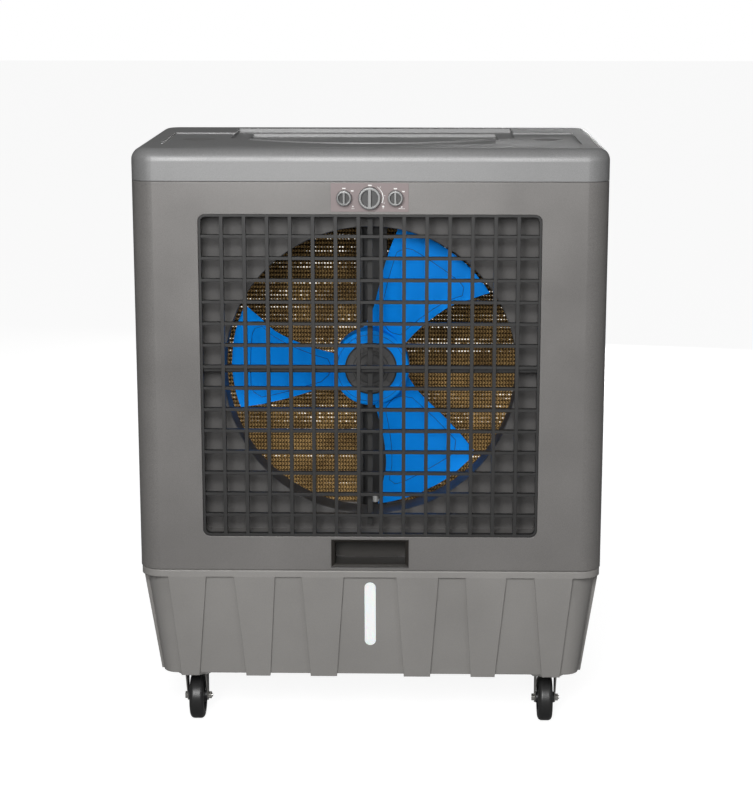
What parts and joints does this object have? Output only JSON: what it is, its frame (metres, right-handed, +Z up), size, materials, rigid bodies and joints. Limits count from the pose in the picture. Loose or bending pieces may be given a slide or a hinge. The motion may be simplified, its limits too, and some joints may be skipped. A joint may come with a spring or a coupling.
{
  "type": "evaporative cooler",
  "caption": "Portable evaporative cooler on swivel casters: water tank, square discharge grille, bladed fan in a venturi shroud, wetted side and rear pads behind louvres, and rotary controls.",
  "frame": {"origin": "on the floor under the middle of the whole box, knobs included", "axes": "+Z up, air leaves towards -Y, +X to the right seen from the front"},
  "size_m": [0.965, 0.578, 1.244],
  "materials": {
    "casing_plastic": "satin metallic flake",
    "cover_plastic": "satin metallic flake",
    "tank_plastic": "fine satin",
    "dark_plastic": "satin",
    "black_plastic": "satin",
    "shroud_plastic": "satin",
    "blue_plastic": "semi gloss",
    "white_plastic": "satin",
    "window_plastic": "translucent milky",
    "panel_plastic": "satin",
    "knob_plastic": "satin silver",
    "pad_cellulose": "corrugated",
    "rubber_hose": "matte",
    "tyre_rubber": "satin",
    "zinc_steel": "zinc plated",
    "shaft_steel": "ground",
    "motor_paint": "satin black",
    "post_paint": "satin black",
    "inlet_brass": "machined"
  },
  "bodies": {
    "cooler": {"water_tank": "tank_plastic", "level_window": "window_plastic", "drain_plug": "dark_plastic", "float_valve": "white_plastic", "front_housing": "casing_plastic", "rear_housing": "casing_plastic", "top_cover": "cover_plastic", "cover_plugs": "dark_plastic", "front_grille": "dark_plastic", "grille_brace_horizontal": "dark_plastic", "grille_brace_vertical": "black_plastic", "fan_shroud": "shroud_plastic", "motor_housing": "motor_paint", "motor_end_bells": "motor_paint", "motor_bracket": "post_paint", "motor_mount_post": "post_paint", "cable_clip": "white_plastic", "water_pump": "black_plastic", "pump_strainer": "dark_plastic", "riser_hose": "rubber_hose", "water_manifold": "dark_plastic", "pad_rear": "pad_cellulose", "pad_left": "pad_cellulose", "pad_right": "pad_cellulose", "louver_rear": "casing_plastic", "louver_left": "casing_plastic", "louver_right": "casing_plastic", "control_panel": "panel_plastic", "control_switches": "black_plastic", "fill_pocket": "dark_plastic", "cord_gland": "black_plastic", "hose_inlet": "inlet_brass", "caster_plates": "zinc_steel", "caster_bolts": "zinc_steel"},
    "fan": {"fan_rotor": "blue_plastic", "fan_hub_plate": "dark_plastic", "fan_nut": "zinc_steel", "motor_shaft": "shaft_steel"},
    "float": {"float_arm": "inlet_brass", "float_ball": "white_plastic"},
    "impeller": {"pump_impeller": "white_plastic"},
    "knob_left_body": {"knob_left": "knob_plastic"},
    "knob_center_body": {"knob_center": "knob_plastic"},
    "knob_right_body": {"knob_right": "knob_plastic"},
    "front_left_swivel": {"caster_front_left_fork": "zinc_steel", "caster_front_left_axle": "zinc_steel"},
    "front_left_wheel": {"caster_front_left_wheel": "black_plastic", "caster_front_left_tyre": "tyre_rubber"},
    "front_right_swivel": {"caster_front_right_fork": "zinc_steel", "caster_front_right_axle": "zinc_steel"},
    "front_right_wheel": {"caster_front_right_wheel": "black_plastic", "caster_front_right_tyre": "tyre_rubber"},
    "rear_left_swivel": {"caster_rear_left_fork": "zinc_steel", "caster_rear_left_axle": "zinc_steel"},
    "rear_left_wheel": {"caster_rear_left_wheel": "black_plastic", "caster_rear_left_tyre": "tyre_rubber"},
    "rear_right_swivel": {"caster_rear_right_fork": "zinc_steel", "caster_rear_right_axle": "zinc_steel"},
    "rear_right_wheel": {"caster_rear_right_wheel": "black_plastic", "caster_rear_right_tyre": "tyre_rubber"}
  },
  "joints": [
    {"name": "fan_spin", "type": "hinge", "parent": "cooler", "child": "fan", "pos_m": [0, -0.145, 0.777], "axis": [0, -1, 0], "continuous": true},
    {"name": "float_lift", "type": "hinge", "parent": "cooler", "child": "float", "pos_m": [-0.315, 0.225, 0.312], "axis": [-1, 0, 0], "range_deg": [0, 30]},
    {"name": "impeller_spin", "type": "hinge", "parent": "cooler", "child": "impeller", "pos_m": [0, 0.159, 0.18], "axis": [0, 0, 1], "continuous": true},
    {"name": "left_knob_turn", "type": "hinge", "parent": "cooler", "child": "knob_left_body", "pos_m": [-0.0515, -0.28, 1.147], "axis": [0, 1, 0], "range_deg": [0, 50]},
    {"name": "center_knob_turn", "type": "hinge", "parent": "cooler", "child": "knob_center_body", "pos_m": [0, -0.28, 1.147], "axis": [0, 1, 0], "range_deg": [0, 120]},
    {"name": "right_knob_turn", "type": "hinge", "parent": "cooler", "child": "knob_right_body", "pos_m": [0.0515, -0.28, 1.147], "axis": [0, 1, 0], "range_deg": [0, 50]},
    {"name": "front_left_swivel_turn", "type": "hinge", "parent": "cooler", "child": "front_left_swivel", "pos_m": [-0.376, -0.186, 0.116], "axis": [0, 0, 1], "continuous": true},
    {"name": "front_left_wheel_spin", "type": "hinge", "parent": "front_left_swivel", "child": "front_left_wheel", "pos_m": [-0.376, -0.161, 0.05], "axis": [1, 0, 0], "continuous": true},
    {"name": "front_right_swivel_turn", "type": "hinge", "parent": "cooler", "child": "front_right_swivel", "pos_m": [0.376, -0.186, 0.116], "axis": [0, 0, 1], "continuous": true},
    {"name": "front_right_wheel_spin", "type": "hinge", "parent": "front_right_swivel", "child": "front_right_wheel", "pos_m": [0.376, -0.161, 0.05], "axis": [1, 0, 0], "continuous": true},
    {"name": "rear_left_swivel_turn", "type": "hinge", "parent": "cooler", "child": "rear_left_swivel", "pos_m": [-0.376, 0.204, 0.116], "axis": [0, 0, 1], "continuous": true},
    {"name": "rear_left_wheel_spin", "type": "hinge", "parent": "rear_left_swivel", "child": "rear_left_wheel", "pos_m": [-0.376, 0.229, 0.05], "axis": [1, 0, 0], "continuous": true},
    {"name": "rear_right_swivel_turn", "type": "hinge", "parent": "cooler", "child": "rear_right_swivel", "pos_m": [0.376, 0.204, 0.116], "axis": [0, 0, 1], "continuous": true},
    {"name": "rear_right_wheel_spin", "type": "hinge", "parent": "rear_right_swivel", "child": "rear_right_wheel", "pos_m": [0.376, 0.229, 0.05], "axis": [1, 0, 0], "continuous": true}
  ]
}
